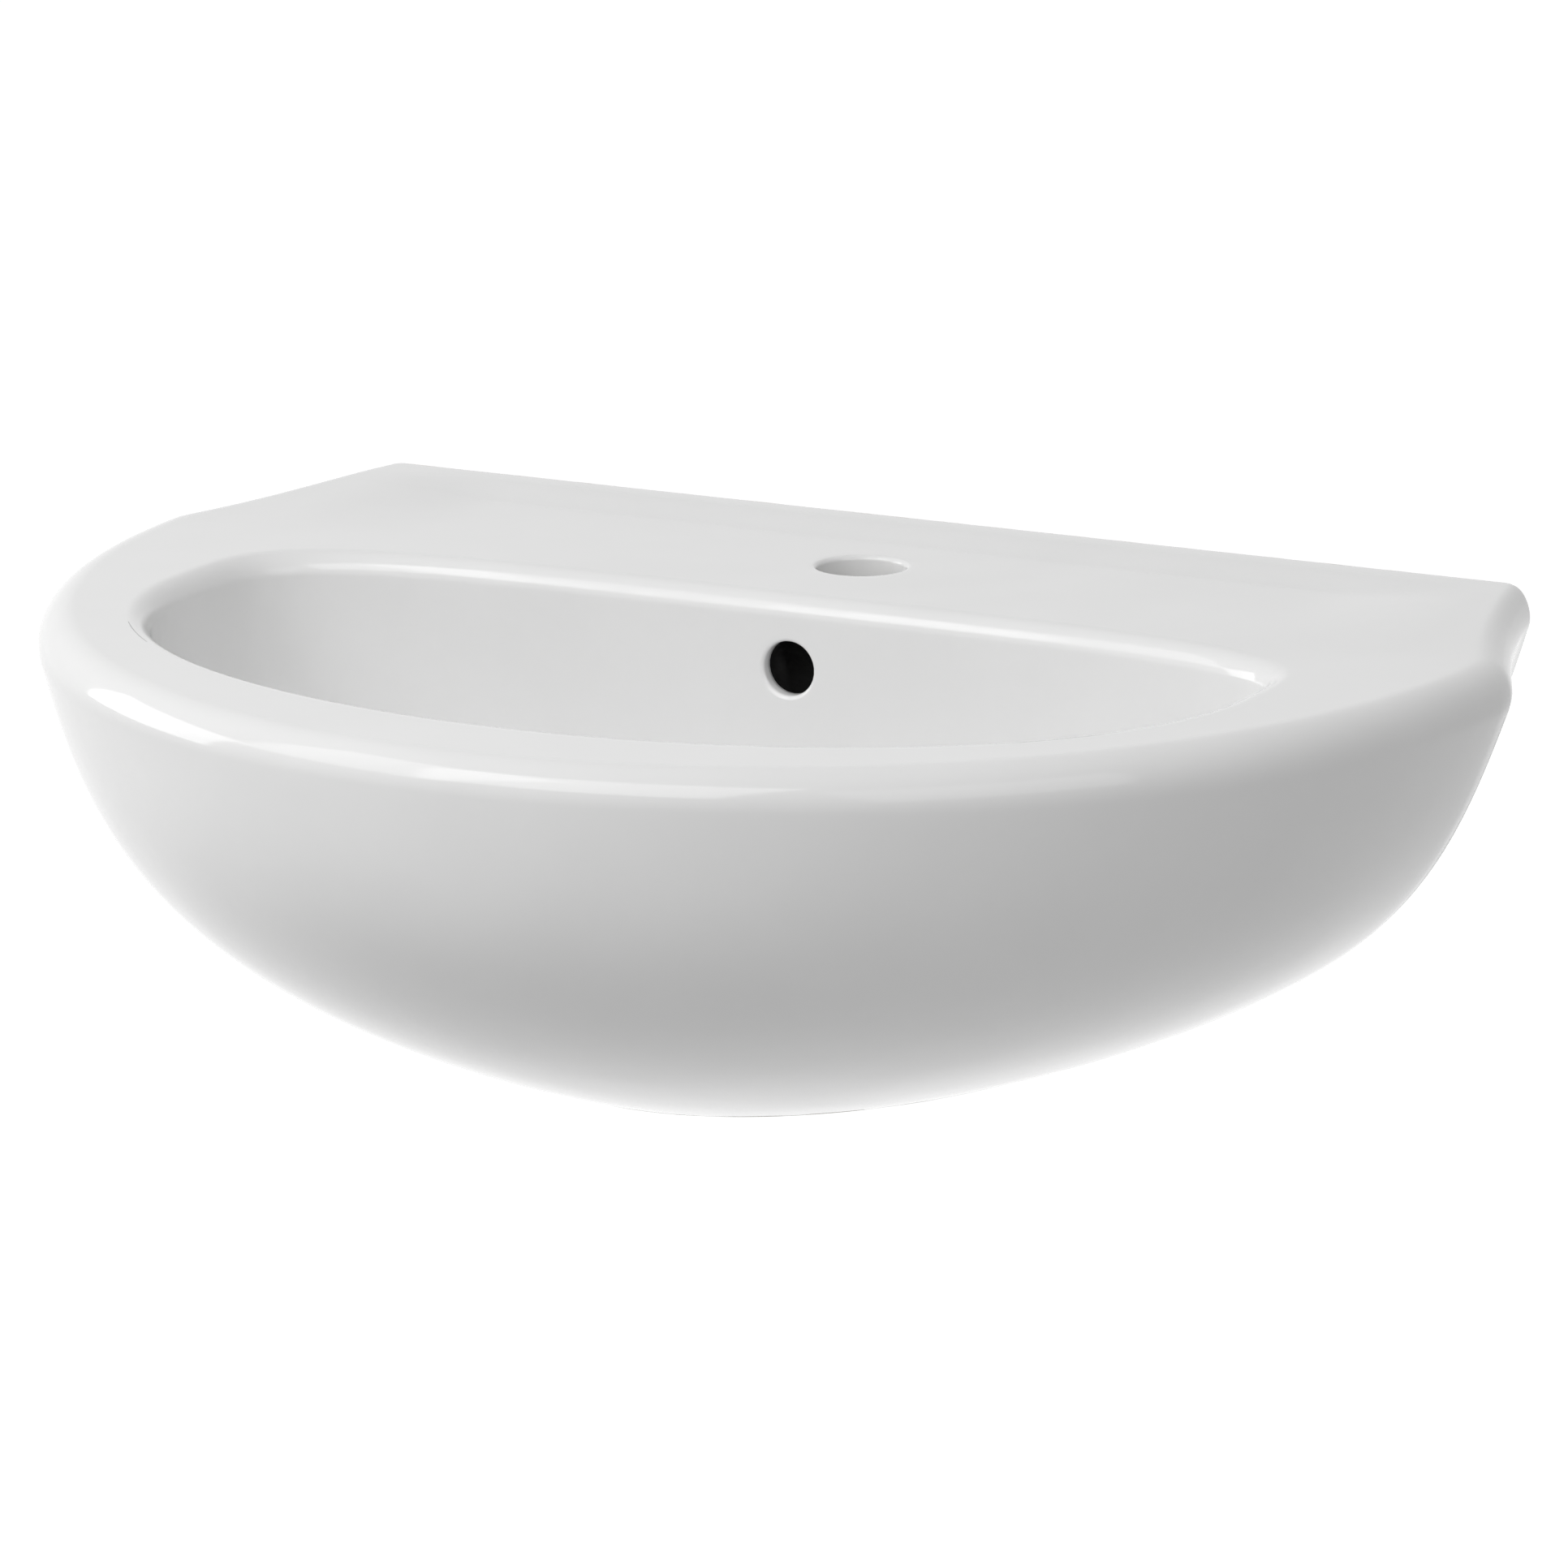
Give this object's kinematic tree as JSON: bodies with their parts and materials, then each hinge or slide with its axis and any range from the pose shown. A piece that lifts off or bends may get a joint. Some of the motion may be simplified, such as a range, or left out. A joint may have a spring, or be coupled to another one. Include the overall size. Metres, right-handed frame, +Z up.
{
  "type": "pedestal basin",
  "caption": "White ceramic basin for a pedestal, D-shaped in plan, with a tap hole, an overflow, a push waste and fixings to the wall.",
  "frame": {"origin": "on the wall face, midway between the two fixing holes, 65 mm below the rim plane", "axes": "+X to the right as seen from the front, +Y into the wall, +Z up; the front of the basin is at -Y"},
  "size_m": [0.5876, 0.4928, 0.189],
  "materials": {
    "ceramic": "gloss white glaze",
    "chrome": "polished",
    "brass": "turned",
    "steel": "bright drawn wire",
    "zinc_steel": "zinc plated",
    "seal_rubber": "matt black",
    "white_nylon": "natural nylon",
    "grey_nylon": "grey nylon"
  },
  "bodies": {
    "root": {"basin": "ceramic", "waste_body": "chrome", "flange_seal": "seal_rubber", "lower_seal": "seal_rubber", "friction_washer": "white_nylon", "back_nut": "brass", "cartridge_sleeve": "brass", "cartridge_collar": "brass", "plug_spring": "steel", "hanger_bolts": "zinc_steel", "bolt_sleeves": "white_nylon", "bolt_washers": "zinc_steel", "bolt_nuts": "zinc_steel", "wall_plugs": "grey_nylon"},
    "plug": {"plug_cap": "chrome", "plug_seal": "seal_rubber", "plug_stem": "brass", "lock_nut": "brass", "plunger": "white_nylon"},
    "rotor": {"rotor": "white_nylon"}
  },
  "joints": [
    {"name": "plug_slide", "type": "slide", "parent": "root", "child": "plug", "axis": [0, 0, 1], "range_m": [0, 0.008], "deforming": ["plug_spring"]},
    {"name": "rotor_turn", "type": "hinge", "parent": "plug", "child": "rotor", "pos_m": [0, -0.201, -0.082], "axis": [0, 0, 1], "range_deg": [0, 45]}
  ],
  "couplings": [
    {"joint": "rotor_turn", "follows": "plug_slide", "rad_per_m": 98.175}
  ]
}
